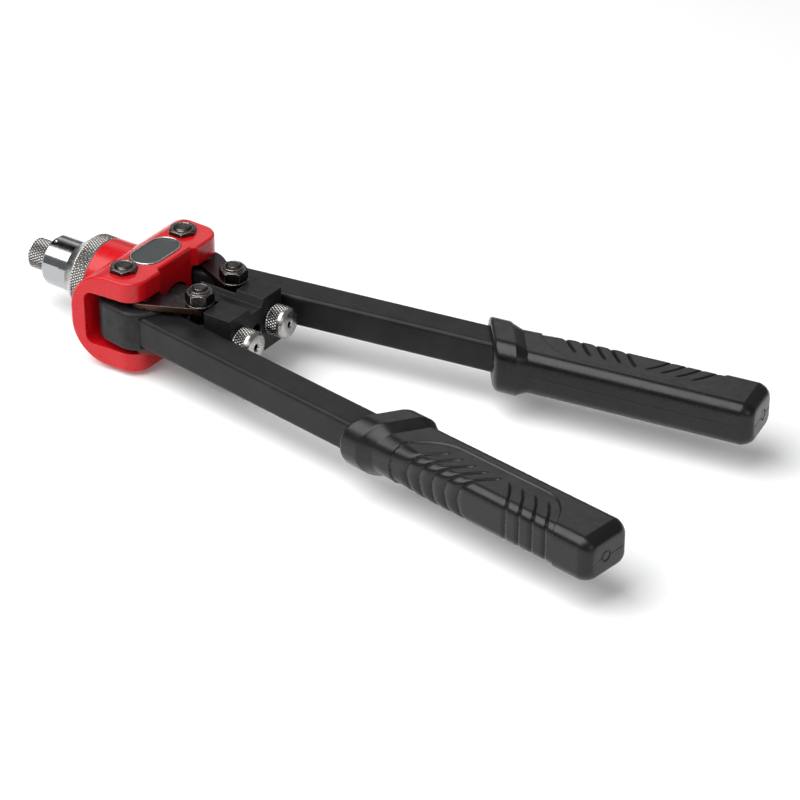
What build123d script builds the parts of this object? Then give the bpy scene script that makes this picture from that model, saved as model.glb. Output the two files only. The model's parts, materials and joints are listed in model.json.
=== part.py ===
from build123d import *
import os
from math import atan2, cos, degrees, hypot, radians, sin

# Two-handled hand riveter for blind rivets.
# Frame: the origin is the centre of the nosepiece's front face, +X runs along the
# tool towards the grips, +Z is up and the two handles swing in the XY plane.
# The left handle lies on -Y, the right handle on +Y. All sizes are millimetres.

os.makedirs("parts", exist_ok=True)

# ---- driving dimensions -------------------------------------------------------
clear = 0.05                 # running clearance, radial

# nose, from the front face backwards
tip_r = 7.5
tip_length = 12.5
mandrel_bore_r = 2.1         # nosepiece for 4.0 mm rivets
housing_r = 12.3
housing_front_x = 12.5
housing_rear_x = 27.5
housing_wall = 6.0           # thickness of the housing's front wall
housing_bore_r = 8.3
thread_r = 10.0              # outside of the housing's rear thread
ring_rear_x = 44.5
ring_band_x = 36.0
ring_r = 19.4
ring_front_r = 12.6
stud_r = 5.0                 # nosepiece thread
stud_length = 7.0

# red head
head_front_x = 50.4
head_rear_x = 87.4
head_web_x = 84.8            # rear face of the web between the ears
head_half_z = 23.5
head_half_y = 35.7
ear_inner_z = 13.7
nose_round = 20.0            # rounding of the head's front edges
web_round = 4.0              # fillet between the web and the ear plates
pocket_front_x = 58.2
web_half_y = 12.0
badge_x = 73.6
badge_length = 29.0
badge_width = 16.6
badge_recess = 0.8
rim_width = 0.9
barrel_r = 19.4
barrel_rear_x = 64.0         # where the barrel has sunk into the head's front round

# handle pivots and the pull linkage
pivot_x = 72.5
pivot_y = 22.2
handle_angle = 8.8           # each handle's angle to the tool axis at rest
bolt_r = 4.0
nut_flats = 12.0
hub_r = 12.3
hub_pocket_r = 13.1
link_pin_u = 12.4            # link pin's distance from the handle pivot
link_pin_r = 3.0
link_end_r = 5.8
link_low_z = 10.2
link_thick = 3.0
slide_bolt_x = 109.2
slide_bolt_y = 12.95
slide_bolt_r = 3.5
slide_play = 0.95            # extra radius of the link's rear hole

# draw block and pull rod
block_front_x = 116.3
block_rear_x = 131.5
block_half_y = 20.0
block_half_z = 13.7
lug_front_x = 102.5
lug_half_z = 4.5
lug_half_y = 17.6
spine_half_y = 5.5
spine_front_x = 96.0
boss_front_x = 77.0
boss_r = 8.8
rod_r = 5.0
rod_bore_r = 3.0
rod_front_x = 52.0

# handles, measured along each handle from its pivot
tube_half = 8.0
tube_wall = 2.0
tube_start = 18.0
tube_end = 283.0
collar_end = 22.0
collar_half = 10.0
knuckle_round = 1.9
cheek_end = 8.0              # where the knuckle's outer cheek starts to taper
cheek_round = 14.0
cheek_proud = 1.5           # outer cheek beyond the collar's inner half width
grip_end = 290.8
grip_in = 15.4               # grip's reach towards the tool axis
grip_out = 12.0
grip_half_z = 10.8
flange_front = 158.9         # where the raked flange's front face crosses the tube's middle
flange_rake = 0.555          # how far the flange's faces lean forward per mm outward
flange_band = 14.0
flange_in = 18.0
flange_out = 14.6
flange_half_z = 13.6

# ---- values worked out from them ------------------------------------------------
hex_r = nut_flats / 2
link_top_z = link_low_z + link_thick
plate_length = badge_length - 2 * rim_width
plate_width = badge_width - 2 * rim_width
SIDES = {"left": -1, "right": 1}


def handle_point(side, u, out=0.0):
    """Place in XY of a point u along a handle and out to its outer side."""
    a = radians(handle_angle)
    x = pivot_x + u * cos(a) - out * sin(a)
    y = pivot_y + u * sin(a) + out * cos(a)
    return x, side * y


def handle_plane(side, z=0.0, u=0.0):
    """Plane with x along a handle, y across it and z up."""
    a = radians(handle_angle)
    x, y = handle_point(side, u)
    return Plane(origin=(x, y, z), x_dir=(cos(a), side * sin(a), 0), z_dir=(0, 0, 1))


def section_plane(side, u):
    """Plane across a handle: x points to the handle's outer side and y up."""
    a = radians(handle_angle)
    x, y = handle_point(side, u)
    across = (-sin(a), side * cos(a), 0)
    return Plane(origin=(x, y, 0), x_dir=across, z_dir=(side * cos(a), sin(a), 0))


def raked(side, out, back):
    """Point in a handle plane on a flange face: out across the handle, back behind the front face."""
    return flange_front - flange_rake * out + back, side * out


def near(value, target):
    """True for coordinates that agree to a tenth of a millimetre."""
    return abs(value - target) < 0.1


# ---- head casting ---------------------------------------------------------------
# A C-shaped casting: front wall, upper and lower ear plates, a web between the two
# handle pockets and a round barrel that takes the nose.
with BuildPart() as head_casting:
    with BuildSketch(Plane.XZ) as side_view:
        with Locations(((head_front_x + 90) / 2, 0)):
            Rectangle(90 - head_front_x, 2 * head_half_z)
        fillet(side_view.vertices().group_by(Axis.X)[0], nose_round)
    extrude(amount=45, both=True)
    with BuildSketch(Plane.XY.offset(-30)) as plan_view:
        with BuildLine():
            Polyline(
                (head_front_x, -head_half_y),
                (pivot_x - 2, -head_half_y + 1.9),
                (head_rear_x, -head_half_y + 2.5),
                (head_rear_x, -14.2),
                (head_web_x, -web_half_y),
                (head_web_x, web_half_y),
                (head_rear_x, 14.2),
                (head_rear_x, head_half_y - 2.5),
                (pivot_x - 2, head_half_y - 1.9),
                (head_front_x, head_half_y),
                close=True,
            )
        make_face()
        ear_corners = plan_view.vertices().group_by(Axis.X)[-1].sort_by(Axis.Y)
        fillet([ear_corners[0], ear_corners[-1]], 9.5)
    extrude(amount=60, mode=Mode.INTERSECT)
    with BuildSketch(Plane.YZ.offset(ring_rear_x)):
        Circle(barrel_r)
    extrude(amount=barrel_rear_x - ring_rear_x)
    # handle pockets beside the web
    for side in (-1, 1):
        with BuildSketch(Plane.XZ.offset(-side * web_half_y)) as pocket:
            with Locations(((pocket_front_x + 95) / 2, 0)):
                Rectangle(95 - pocket_front_x, 2 * ear_inner_z)
            fillet(pocket.vertices().group_by(Axis.X)[0], 4.5)
        extrude(amount=-side * 40, mode=Mode.SUBTRACT)
    web_corners = head_casting.edges().filter_by(
        lambda e: near(abs(e.center().Y), web_half_y)
        and near(abs(e.center().Z), ear_inner_z)
    )
    fillet(web_corners, web_round)
    with BuildSketch(Plane.XY.offset(-ear_inner_z)):
        with Locations((pivot_x, -pivot_y), (pivot_x, pivot_y)):
            Circle(hub_pocket_r)
    extrude(amount=2 * ear_inner_z, mode=Mode.SUBTRACT)
    # bores along the nose axis: housing thread, jaw case, bush seat, arch for the boss
    with BuildSketch(Plane.YZ.offset(ring_rear_x)):
        Circle(thread_r)
    extrude(amount=8.5, mode=Mode.SUBTRACT)
    with BuildSketch(Plane.YZ.offset(ring_rear_x)):
        Circle(housing_bore_r)
    extrude(amount=15.5, mode=Mode.SUBTRACT)
    with BuildSketch(Plane.YZ.offset(ring_rear_x)):
        Circle(7.0)
    extrude(amount=30, mode=Mode.SUBTRACT)
    with BuildSketch(Plane.YZ.offset(66.0)):
        Circle(boss_r + 1.0)
    extrude(amount=30, mode=Mode.SUBTRACT)
    # pivot bolt holes with hexagonal seats for the nuts and heads
    with BuildSketch(Plane.XY.offset(-head_half_z - 1)):
        with Locations((pivot_x, -pivot_y), (pivot_x, pivot_y)):
            Circle(bolt_r + 0.1)
    extrude(amount=2 * head_half_z + 2, mode=Mode.SUBTRACT)
    for face_z, depth in ((head_half_z, -1.5), (-head_half_z, 1.5)):
        with BuildSketch(Plane.XY.offset(face_z)):
            with Locations((pivot_x, -pivot_y), (pivot_x, pivot_y)):
                RegularPolygon(hex_r + 0.1, 6, major_radius=False)
        extrude(amount=depth, mode=Mode.SUBTRACT)
    # badge recess
    with BuildSketch(Plane.XY.offset(head_half_z)):
        with Locations((badge_x, 0)):
            SlotOverall(badge_length, badge_width, rotation=90)
    extrude(amount=-badge_recess, mode=Mode.SUBTRACT)
    # softened outer edges of the ear plates
    rims = head_casting.edges().filter_by(
        lambda e: near(abs(e.center().Z), head_half_z)
        and (abs(e.center().Y) > 30 or e.center().X > head_web_x - 0.2)
    )
    fillet(rims, 1.2)
head_casting.part.label = "head_casting"
export_step(head_casting.part, "parts/head_casting.step")

with BuildPart() as badge_rim:
    with BuildSketch(Plane.XY.offset(head_half_z - badge_recess)):
        with Locations((badge_x, 0)):
            SlotOverall(badge_length, badge_width, rotation=90)
            SlotOverall(plate_length, plate_width, rotation=90, mode=Mode.SUBTRACT)
    extrude(amount=1.3)
badge_rim.part.label = "badge_rim"
export_step(badge_rim.part, "parts/badge_rim.step")

with BuildPart() as badge_plate:
    with BuildSketch(Plane.XY.offset(head_half_z - badge_recess)):
        with Locations((badge_x, 0)):
            SlotOverall(plate_length, plate_width, rotation=90)
    extrude(amount=0.9)
badge_plate.part.label = "badge_plate"
export_step(badge_plate.part, "parts/badge_plate.step")

# ---- nose -------------------------------------------------------------------------
with BuildPart() as nosepiece:
    with BuildSketch(Plane.XZ):
        with BuildLine():
            Polyline(
                (0, mandrel_bore_r),
                (0, tip_r - 1.0),
                (1.0, tip_r),
                (tip_length, tip_r),
                (tip_length, stud_r),
                (tip_length + stud_length - 1, stud_r),
                (tip_length + stud_length + 1, 3.0),
                (tip_length + stud_length + 1, mandrel_bore_r),
                close=True,
            )
        make_face()
    revolve(axis=Axis.X)
nosepiece.part.label = "nosepiece"
export_step(nosepiece.part, "parts/nosepiece.step")

with BuildPart() as nose_housing:
    with BuildSketch(Plane.XZ):
        with BuildLine():
            Polyline(
                (housing_front_x, stud_r),
                (housing_front_x, housing_r - 1.4),
                (housing_front_x + 1.4, housing_r),
                (housing_rear_x, housing_r),
                (housing_rear_x, thread_r),
                (ring_rear_x + 8, thread_r),
                (ring_rear_x + 8, housing_bore_r),
                (housing_front_x + housing_wall, housing_bore_r),
                (housing_front_x + housing_wall, stud_r),
                close=True,
            )
        make_face()
    revolve(axis=Axis.X)
    # two spanner flats
    for side in (-1, 1):
        with BuildSketch(Plane.YZ.offset(housing_front_x)):
            with Locations((side * (housing_r + 4.4), 0)):
                Rectangle(10, 30)
        extrude(amount=11.0, mode=Mode.SUBTRACT)
nose_housing.part.label = "nose_housing"
export_step(nose_housing.part, "parts/nose_housing.step")

with BuildPart() as lock_ring:
    with BuildSketch(Plane.XZ):
        with BuildLine():
            Polyline(
                (housing_rear_x, thread_r),
                (housing_rear_x, ring_front_r),
                (ring_band_x - 0.5, ring_r - 0.6),
                (ring_band_x, ring_r),
                (ring_rear_x - 0.5, ring_r),
                (ring_rear_x, ring_r - 0.5),
                (ring_rear_x, thread_r),
                close=True,
            )
        make_face()
    revolve(axis=Axis.X)
lock_ring.part.label = "lock_ring"
export_step(lock_ring.part, "parts/lock_ring.step")

# ---- jaws and pull rod ---------------------------------------------------------------
case_front_x = 31.5
case_rear_x = 57.5
case_r = 7.9
with BuildPart() as jaw_case:
    with BuildSketch(Plane.XZ):
        with BuildLine():
            Polyline(
                (case_front_x, 3.2),
                (case_front_x, case_r - 1.2),
                (case_front_x + 1.2, case_r),
                (case_rear_x, case_r),
                (case_rear_x, rod_r),
                (rod_front_x - 1, rod_r),
                (rod_front_x - 1, 6.1),
                (case_front_x + 11, 6.1),
                close=True,
            )
        make_face()
    revolve(axis=Axis.X)
jaw_case.part.label = "jaw_case"
export_step(jaw_case.part, "parts/jaw_case.step")

# three wedge jaws in the cone, 120 degrees apart with a slit between them
with BuildPart() as jaws:
    with BuildSketch(Plane.XZ):
        with BuildLine():
            Polyline(
                (case_front_x + 1.5, 1.3),
                (case_front_x + 1.5, 3.45),
                (case_front_x + 10.5, 5.8),
                (case_front_x + 10.5, 3.4),
                (case_front_x + 8.4, 1.3),
                close=True,
            )
        make_face()
    revolve(axis=Axis.X)
    with BuildSketch(Plane.YZ.offset(case_front_x)):
        with PolarLocations(4, 3):
            Rectangle(8, 0.6)
    extrude(amount=14, mode=Mode.SUBTRACT)
jaws.part.label = "jaws"
export_step(jaws.part, "parts/jaws.step")

with BuildPart() as jaw_pusher:
    with BuildSketch(Plane.XZ):
        with BuildLine():
            Polyline(
                (case_front_x + 9.0, 1.4),
                (case_front_x + 10.8, 3.2),
                (case_front_x + 10.8, 5.9),
                (case_front_x + 12.5, 5.9),
                (case_front_x + 12.5, 2.8),
                (rod_front_x + 4.0, 2.8),
                (rod_front_x + 4.0, 1.4),
                close=True,
            )
        make_face()
    revolve(axis=Axis.X)
jaw_pusher.part.label = "jaw_pusher"
export_step(jaw_pusher.part, "parts/jaw_pusher.step")

# pusher spring: a wire helix between the pusher's collar and the pull rod
spring_front = case_front_x + 13.0
spring_length = rod_front_x - spring_front - 0.7
with BuildPart() as jaw_spring:
    with BuildLine():
        coil = Helix(
            pitch=spring_length / 4,
            height=spring_length,
            radius=4.3,
            center=(spring_front, 0, 0),
            direction=(1, 0, 0),
        )
    with BuildSketch(Plane(origin=coil @ 0, z_dir=coil % 0)):
        Circle(0.45)
    sweep(path=coil, is_frenet=True)
jaw_spring.part.label = "jaw_spring"
export_step(jaw_spring.part, "parts/jaw_spring.step")

with BuildPart() as pull_rod:
    with BuildSketch(Plane.YZ.offset(rod_front_x)):
        Circle(rod_r)
        Circle(rod_bore_r, mode=Mode.SUBTRACT)
    extrude(amount=block_front_x - rod_front_x)
pull_rod.part.label = "pull_rod"
export_step(pull_rod.part, "parts/pull_rod.step")

with BuildPart() as rod_bush:
    with BuildSketch(Plane.YZ.offset(60.0)):
        Circle(7.0)
        Circle(rod_r + clear, mode=Mode.SUBTRACT)
    extrude(amount=6.0)
rod_bush.part.label = "rod_bush"
export_step(rod_bush.part, "parts/rod_bush.step")

# ---- draw block ------------------------------------------------------------------------
with BuildPart() as draw_block:
    with BuildSketch(Plane.XY.offset(-block_half_z)) as block_plan:
        with Locations(((block_front_x + block_rear_x) / 2, 0)):
            Rectangle(block_rear_x - block_front_x, 2 * block_half_y)
        fillet(block_plan.vertices(), 0.8)
    extrude(amount=2 * block_half_z)
    with BuildSketch(Plane.XY.offset(-12.0)):
        with Locations(((spine_front_x + block_front_x) / 2 + 0.5, 0)):
            Rectangle(block_front_x - spine_front_x + 1, 2 * spine_half_y)
    extrude(amount=24.0)
    with BuildSketch(Plane.XY.offset(-lug_half_z)) as lug_plan:
        with Locations(((lug_front_x + block_front_x) / 2 + 0.5, 0)):
            Rectangle(block_front_x - lug_front_x + 1, 2 * lug_half_y)
        fillet(lug_plan.vertices().group_by(Axis.X)[0], 4.5)
    extrude(amount=2 * lug_half_z)
    with BuildSketch(Plane.YZ.offset(boss_front_x)):
        Circle(boss_r)
    extrude(amount=spine_front_x + 4 - boss_front_x)
    # shallow troughs along the top and bottom faces
    with BuildSketch(Plane.YZ.offset(90.0)):
        for z in (12.0, -12.0):
            with Locations((0, z)):
                Trapezoid(12.0, 4.0, 120 if z > 0 else 60)
    extrude(amount=50, mode=Mode.SUBTRACT)
    # rod thread, mandrel outlet, link bolt holes and the two storage threads
    with BuildSketch(Plane.YZ.offset(boss_front_x)):
        Circle(rod_r)
    extrude(amount=block_front_x - boss_front_x, mode=Mode.SUBTRACT)
    with BuildSketch(Plane.YZ.offset(block_front_x - 1)):
        Circle(rod_bore_r + 0.3)
    extrude(amount=20, mode=Mode.SUBTRACT)
    with BuildSketch(Plane.XY.offset(-10)):
        with Locations((slide_bolt_x, -slide_bolt_y), (slide_bolt_x, slide_bolt_y)):
            Circle(slide_bolt_r)
    extrude(amount=20, mode=Mode.SUBTRACT)
    with BuildSketch(Plane.YZ.offset(block_rear_x - stud_length - 1.5)):
        with Locations((-slide_bolt_y, 0), (slide_bolt_y, 0)):
            Circle(stud_r)
    extrude(amount=stud_length + 2, mode=Mode.SUBTRACT)
draw_block.part.label = "draw_block"
export_step(draw_block.part, "parts/draw_block.step")

# two spare nosepieces with larger and smaller bores, screwed into the block
spare_bore = {"left": 1.6, "right": 1.3}
for name, side in SIDES.items():
    with BuildPart() as spare:
        with BuildSketch(Plane.XZ.offset(-side * slide_bolt_y)):
            with BuildLine():
                Polyline(
                    (block_rear_x - stud_length, spare_bore[name]),
                    (block_rear_x - stud_length, stud_r - 1),
                    (block_rear_x - stud_length + 1, stud_r),
                    (block_rear_x, stud_r),
                    (block_rear_x, tip_r),
                    (block_rear_x + 8.3, tip_r),
                    (block_rear_x + 9.6, tip_r - 1.3),
                    (block_rear_x + 9.6, spare_bore[name]),
                    close=True,
                )
            make_face()
        revolve(axis=Axis((0, side * slide_bolt_y, 0), (1, 0, 0)))
    spare.part.label = f"{name}_spare_nosepiece"
    export_step(spare.part, f"parts/{name}_spare_nosepiece.step")

# ---- fasteners ----------------------------------------------------------------------------
pivots = [(pivot_x, -pivot_y), (pivot_x, pivot_y)]
slide_bolts = [(slide_bolt_x, -slide_bolt_y), (slide_bolt_x, slide_bolt_y)]
seat_z = head_half_z - 1.5

with BuildPart() as pivot_bolts:
    with BuildSketch(Plane.XY.offset(-seat_z - 4.0)):
        with Locations(*pivots):
            RegularPolygon(hex_r, 6, major_radius=False)
    extrude(amount=4.0)
    with BuildSketch(Plane.XY.offset(-seat_z)):
        with Locations(*pivots):
            Circle(bolt_r)
    extrude(amount=2 * seat_z + 4.3)
    chamfer(pivot_bolts.edges().group_by(Axis.Z)[-1], 0.7)
pivot_bolts.part.label = "pivot_bolts"
export_step(pivot_bolts.part, "parts/pivot_bolts.step")

with BuildPart() as pivot_nuts:
    with BuildSketch(Plane.XY.offset(seat_z)):
        with Locations(*pivots):
            RegularPolygon(hex_r, 6, major_radius=False)
            Circle(bolt_r, mode=Mode.SUBTRACT)
    extrude(amount=3.7)
pivot_nuts.part.label = "pivot_nuts"
export_step(pivot_nuts.part, "parts/pivot_nuts.step")

with BuildPart() as link_bolts:
    with BuildSketch(Plane.XY.offset(-link_top_z - 5.0)):
        with Locations(*slide_bolts):
            RegularPolygon(hex_r, 6, major_radius=False, rotation=30)
    extrude(amount=4.8)
    with BuildSketch(Plane.XY.offset(-link_top_z - 0.2)):
        with Locations(*slide_bolts):
            Circle(slide_bolt_r)
    extrude(amount=2 * link_top_z + 8.8)
    chamfer(link_bolts.edges().group_by(Axis.Z)[-1], 0.7)
link_bolts.part.label = "link_bolts"
export_step(link_bolts.part, "parts/link_bolts.step")

with BuildPart() as link_nuts:
    with BuildSketch(Plane.XY.offset(link_top_z + 1.2)):
        with Locations(*slide_bolts):
            RegularPolygon(hex_r, 6, major_radius=False, rotation=30)
            Circle(slide_bolt_r, mode=Mode.SUBTRACT)
    extrude(amount=5.4)
    with BuildSketch(Plane.XY.offset(link_top_z + 6.6)):
        with Locations(*slide_bolts):
            Circle(5.0)
            Circle(slide_bolt_r, mode=Mode.SUBTRACT)
    extrude(amount=1.3)
link_nuts.part.label = "link_nuts"
export_step(link_nuts.part, "parts/link_nuts.step")

with BuildPart() as link_washers:
    with BuildSketch(Plane.XY.offset(link_top_z + 0.2)):
        with Locations(*slide_bolts):
            Circle(6.6)
            Circle(slide_bolt_r, mode=Mode.SUBTRACT)
    extrude(amount=1.0)
link_washers.part.label = "link_washers"
export_step(link_washers.part, "parts/link_washers.step")

spacer_length = link_low_z - 0.2 - lug_half_z
with BuildPart() as link_spacers:
    for low in (lug_half_z, -lug_half_z - spacer_length):
        with BuildSketch(Plane.XY.offset(low)):
            with Locations(*slide_bolts):
                Circle(4.9)
                Circle(slide_bolt_r, mode=Mode.SUBTRACT)
        extrude(amount=spacer_length)
link_spacers.part.label = "link_spacers"
export_step(link_spacers.part, "parts/link_spacers.step")

# ---- links -------------------------------------------------------------------------------------
for name, side in SIDES.items():
    pin_x, pin_y = handle_point(side, link_pin_u)
    run_x = slide_bolt_x - pin_x
    run_y = side * slide_bolt_y - pin_y
    link_length = hypot(run_x, run_y)
    link_turn = degrees(atan2(run_y, run_x))
    middle = (pin_x + run_x / 2, pin_y + run_y / 2)
    for level, low in (("upper", link_low_z), ("lower", -link_top_z)):
        with BuildPart() as link:
            with BuildSketch(Plane.XY.offset(low)):
                with Locations(Location(middle, link_turn)):
                    SlotCenterToCenter(link_length, 2 * link_end_r)
                with Locations((pin_x, pin_y)):
                    Circle(link_pin_r + clear, mode=Mode.SUBTRACT)
                with Locations((slide_bolt_x, side * slide_bolt_y)):
                    Circle(slide_bolt_r + slide_play, mode=Mode.SUBTRACT)
            extrude(amount=link_thick)
        link.part.label = f"{name}_link_{level}"
        export_step(link.part, f"parts/{name}_link_{level}.step")

# ---- handles -----------------------------------------------------------------------------------
for name, side in SIDES.items():
    floor = handle_plane(side, z=-collar_half)
    with BuildPart() as knuckle:
        with BuildSketch(floor) as knuckle_plan:
            Circle(hub_r)
            Polygon(
                (0, -side * collar_half),
                (0, side * hub_r),
                (cheek_end, side * hub_r),
                (collar_end, side * (collar_half + cheek_proud)),
                (collar_end, -side * collar_half),
                align=None,
            )
            cheek = knuckle_plan.vertices().sort_by_distance(handle_point(side, cheek_end, hub_r))[0]
            fillet(cheek, cheek_round)
        extrude(amount=2 * collar_half)
        fillet(knuckle.edges().filter_by(lambda e: near(abs(e.center().Z), collar_half)), knuckle_round)
        with BuildSketch(section_plane(side, tube_start)):
            Rectangle(2 * tube_half, 2 * tube_half)
        extrude(amount=side * 6, mode=Mode.SUBTRACT)
        with BuildSketch(section_plane(side, tube_start - 1)):
            Rectangle(2 * (tube_half - tube_wall) - 0.1, 2 * (tube_half - tube_wall) - 0.1)
        extrude(amount=side * 36)
        with BuildSketch(floor):
            Circle(6.0)
            with Locations((link_pin_u, 0)):
                Circle(link_pin_r)
        extrude(amount=2 * collar_half, mode=Mode.SUBTRACT)
    knuckle.part.label = f"{name}_knuckle"
    export_step(knuckle.part, f"parts/{name}_knuckle.step")

    with BuildPart() as bush:
        with BuildSketch(handle_plane(side, z=-ear_inner_z + 0.1)):
            Circle(6.0)
            Circle(bolt_r + clear, mode=Mode.SUBTRACT)
        extrude(amount=2 * (ear_inner_z - 0.1))
    bush.part.label = f"{name}_pivot_bush"
    export_step(bush.part, f"parts/{name}_pivot_bush.step")

    with BuildPart() as pin:
        with BuildSketch(handle_plane(side, z=-link_top_z, u=link_pin_u)):
            Circle(link_pin_r)
        extrude(amount=2 * link_top_z)
    pin.part.label = f"{name}_link_pin"
    export_step(pin.part, f"parts/{name}_link_pin.step")

    with BuildPart() as tube:
        with BuildSketch(section_plane(side, tube_start)):
            RectangleRounded(2 * tube_half, 2 * tube_half, 2.2)
            Rectangle(2 * (tube_half - tube_wall), 2 * (tube_half - tube_wall), mode=Mode.SUBTRACT)
        extrude(amount=side * (tube_end - tube_start))
    tube.part.label = f"{name}_tube"
    export_step(tube.part, f"parts/{name}_tube.step")

    grip_middle = (grip_out - grip_in) / 2
    flange_middle = (flange_out - flange_in) / 2
    with BuildPart() as flange:
        with BuildSketch(section_plane(side, flange_front - 20)):
            with Locations((flange_middle, 0)):
                RectangleRounded(flange_in + flange_out, 2 * flange_half_z, 7.0)
        extrude(amount=side * 60)
        with BuildSketch(handle_plane(side, z=-20)):
            with BuildLine():
                Polyline(
                    raked(side, -30, 0),
                    raked(side, 30, 0),
                    raked(side, 30, flange_band),
                    raked(side, -30, flange_band),
                    close=True,
                )
            make_face()
        extrude(amount=40, mode=Mode.INTERSECT)
    with BuildPart() as grip:
        with BuildSketch(section_plane(side, flange_front + flange_band)):
            with Locations((grip_middle, 0)):
                RectangleRounded(grip_in + grip_out, 2 * grip_half_z, 5.5)
        extrude(amount=side * (grip_end - flange_front - flange_band))
        end_plane = section_plane(side, grip_end)
        end_rim = grip.edges().filter_by(
            lambda e: near((e.center() - end_plane.origin).dot(end_plane.z_dir), 0)
        )
        fillet(end_rim, 4.0)
        with BuildSketch(section_plane(side, flange_front)):
            with Locations((grip_middle, 0)):
                RectangleRounded(grip_in + grip_out, 2 * grip_half_z, 5.5)
        extrude(amount=side * (flange_band + 1))
        with BuildSketch(handle_plane(side, z=-20)):
            with BuildLine():
                Polyline(
                    raked(side, -30, 0),
                    raked(side, 30, 0),
                    (flange_front - 30, side * 30),
                    (flange_front - 30, -side * 30),
                    close=True,
                )
            make_face()
        extrude(amount=40, mode=Mode.SUBTRACT)
        add(flange.part)
        with BuildSketch(section_plane(side, flange_front - 20)):
            RectangleRounded(2 * tube_half, 2 * tube_half, 2.2)
        extrude(amount=side * (tube_end - flange_front + 20), mode=Mode.SUBTRACT)
    grip.part.label = f"{name}_grip"
    export_step(grip.part, f"parts/{name}_grip.step")
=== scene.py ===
import json
import math

import bpy
import numpy as np
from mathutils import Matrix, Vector


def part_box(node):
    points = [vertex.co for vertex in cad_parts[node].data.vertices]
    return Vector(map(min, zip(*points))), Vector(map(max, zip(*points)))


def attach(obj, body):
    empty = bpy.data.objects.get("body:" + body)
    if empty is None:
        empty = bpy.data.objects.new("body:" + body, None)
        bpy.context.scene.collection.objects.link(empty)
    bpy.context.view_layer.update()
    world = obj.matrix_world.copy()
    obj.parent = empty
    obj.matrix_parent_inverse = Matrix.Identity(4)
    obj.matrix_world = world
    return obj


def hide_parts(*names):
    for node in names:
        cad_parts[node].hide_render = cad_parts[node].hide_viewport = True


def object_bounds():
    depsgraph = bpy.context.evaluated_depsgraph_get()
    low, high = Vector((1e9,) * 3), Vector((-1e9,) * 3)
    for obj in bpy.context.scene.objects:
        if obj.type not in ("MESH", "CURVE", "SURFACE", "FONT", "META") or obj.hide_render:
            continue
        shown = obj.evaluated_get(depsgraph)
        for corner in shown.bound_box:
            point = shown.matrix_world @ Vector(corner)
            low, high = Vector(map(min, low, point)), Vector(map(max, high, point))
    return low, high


bl_info = {
    "name": "Hand Riveter",
    "version": (1, 0, 0),
    "blender": (4, 5, 0),
    "location": "View3D > Sidebar > Riveter",
    "description": "Builds the visible pieces, the finishes and the studio of a two-handed hand riveter",
    "category": "Object",
}

MM = 0.001

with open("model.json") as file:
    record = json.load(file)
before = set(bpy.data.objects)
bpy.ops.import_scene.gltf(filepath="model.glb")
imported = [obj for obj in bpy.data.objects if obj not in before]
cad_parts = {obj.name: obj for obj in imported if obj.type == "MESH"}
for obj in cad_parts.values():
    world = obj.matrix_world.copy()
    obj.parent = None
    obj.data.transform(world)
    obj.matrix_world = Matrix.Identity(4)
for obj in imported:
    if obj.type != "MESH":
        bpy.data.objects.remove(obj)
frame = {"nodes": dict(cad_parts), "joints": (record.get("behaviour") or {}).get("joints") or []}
CAD_BOX = [list(corner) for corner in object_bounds()]
NODES = frame["nodes"]
JOINT_PLACE = {joint["name"]: Vector(joint["pos_m"]) for joint in frame["joints"] if "pos_m" in joint}
SIDES = ("left", "right")
BLOCK_PIVOT = Vector((109.2 * MM, -12.95 * MM, 0.0))
STUD_RADIUS = 5.0 * MM
HEX_HALF_FLATS = 6.0 * MM
THREAD_PITCH = 1.25 * MM
THREAD_DEPTH = 0.28 * MM
FLOOR_HALF = 6.0


def linear(text):
    """Linear RGBA of an sRGB hex colour: the sRGB curve undone on each channel."""
    channels = [int(text[i:i + 2], 16) / 255 for i in (1, 3, 5)]
    curve = [c / 12.92 if c <= 0.04045 else ((c + 0.055) / 1.055) ** 2.4 for c in channels]
    return (*curve, 1.0)


def length_property(name, description, default):
    """A length in metres, shown in the scene's own unit."""
    return bpy.props.FloatProperty(name=name, description=description, default=default, unit="LENGTH")


def colour_property(name, description, text):
    """A colour whose default is an sRGB hex value."""
    return bpy.props.FloatVectorProperty(
        name=name, description=description, subtype="COLOR", size=4, min=0.0, max=1.0, default=linear(text)
    )


# ---- what a user may change ----


class RiveterSizes(bpy.types.PropertyGroup):
    """Sizes of the detail that the visible pieces carry."""

    knurl_pitch: length_property("Knurl Pitch", "Spacing of the diamond knurl", 1.25 * MM)
    knurl_depth: length_property("Knurl Depth", "Height of the knurl's diamonds", 0.42 * MM)
    panel_depth: length_property("Panel Depth", "Recess of the finger panel in each grip", 0.7 * MM)
    groove_depth: length_property("Groove Depth", "Depth of the grooves across the finger panel", 0.95 * MM)
    groove_pitch: length_property("Groove Pitch", "Spacing of the grooves along the grip", 7.3 * MM)
    flange_front: length_property("Flange Front", "Front of the grip's flange from the pivot", 158.9 * MM)
    flange_band: length_property("Flange Band", "Width of the flange's rounded band", 11.0 * MM)
    flange_taper: length_property("Flange Taper", "Length of the taper behind the flange", 6.0 * MM)
    grip_corner: length_property("Grip Corner", "Radius of the grip's long corners", 5.5 * MM)


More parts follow.
